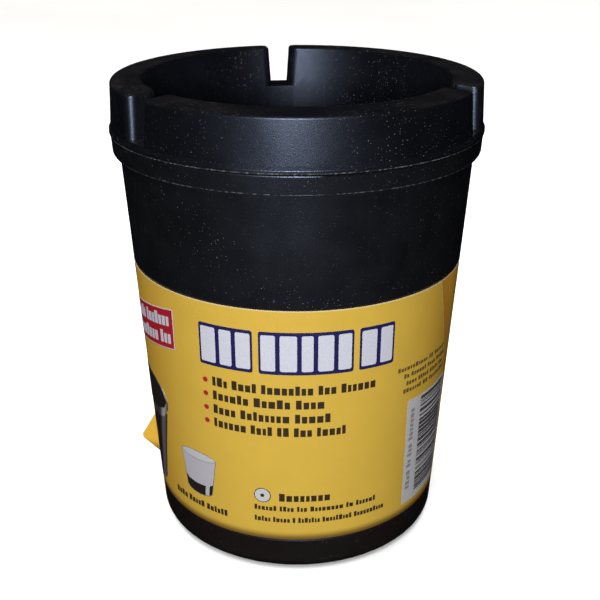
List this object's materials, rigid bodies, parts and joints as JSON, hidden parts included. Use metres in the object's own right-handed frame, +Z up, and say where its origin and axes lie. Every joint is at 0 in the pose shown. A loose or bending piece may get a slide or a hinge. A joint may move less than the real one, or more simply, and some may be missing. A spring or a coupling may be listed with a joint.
{
  "type": "bucket ashtray",
  "caption": "Tapered plastic bucket ashtray with a lift-off notched top, funnel bowl, metal insert and yellow wrap labels.",
  "frame": {"origin": "middle of the base, on the surface that the bucket stands on", "axes": "+Z up along the bucket's axis; one cigarette notch points along +Y, and the printed panel's middle faces about -Y"},
  "size_m": [0.0966, 0.0966, 0.1249],
  "materials": {
    "bucket_plastic": "satin moulded black",
    "top_plastic": "satin moulded black, slightly dusty",
    "insert_steel": "drawn sheet, bright",
    "label_print": "coated paper, yellow print with a slight sheen"
  },
  "bodies": {
    "bucket": {"bucket": "bucket_plastic", "front_label": "label_print", "rear_label": "label_print"},
    "top": {"top": "top_plastic"},
    "metal_insert": {"metal_insert": "insert_steel"}
  },
  "joints": [
    {"name": "top_lift", "type": "slide", "parent": "bucket", "child": "top", "axis": [0, 0, 1], "range_m": [0, 0.05]},
    {"name": "insert_lift", "type": "slide", "parent": "bucket", "child": "metal_insert", "axis": [0, 0, 1], "range_m": [0, 0.06]}
  ]
}
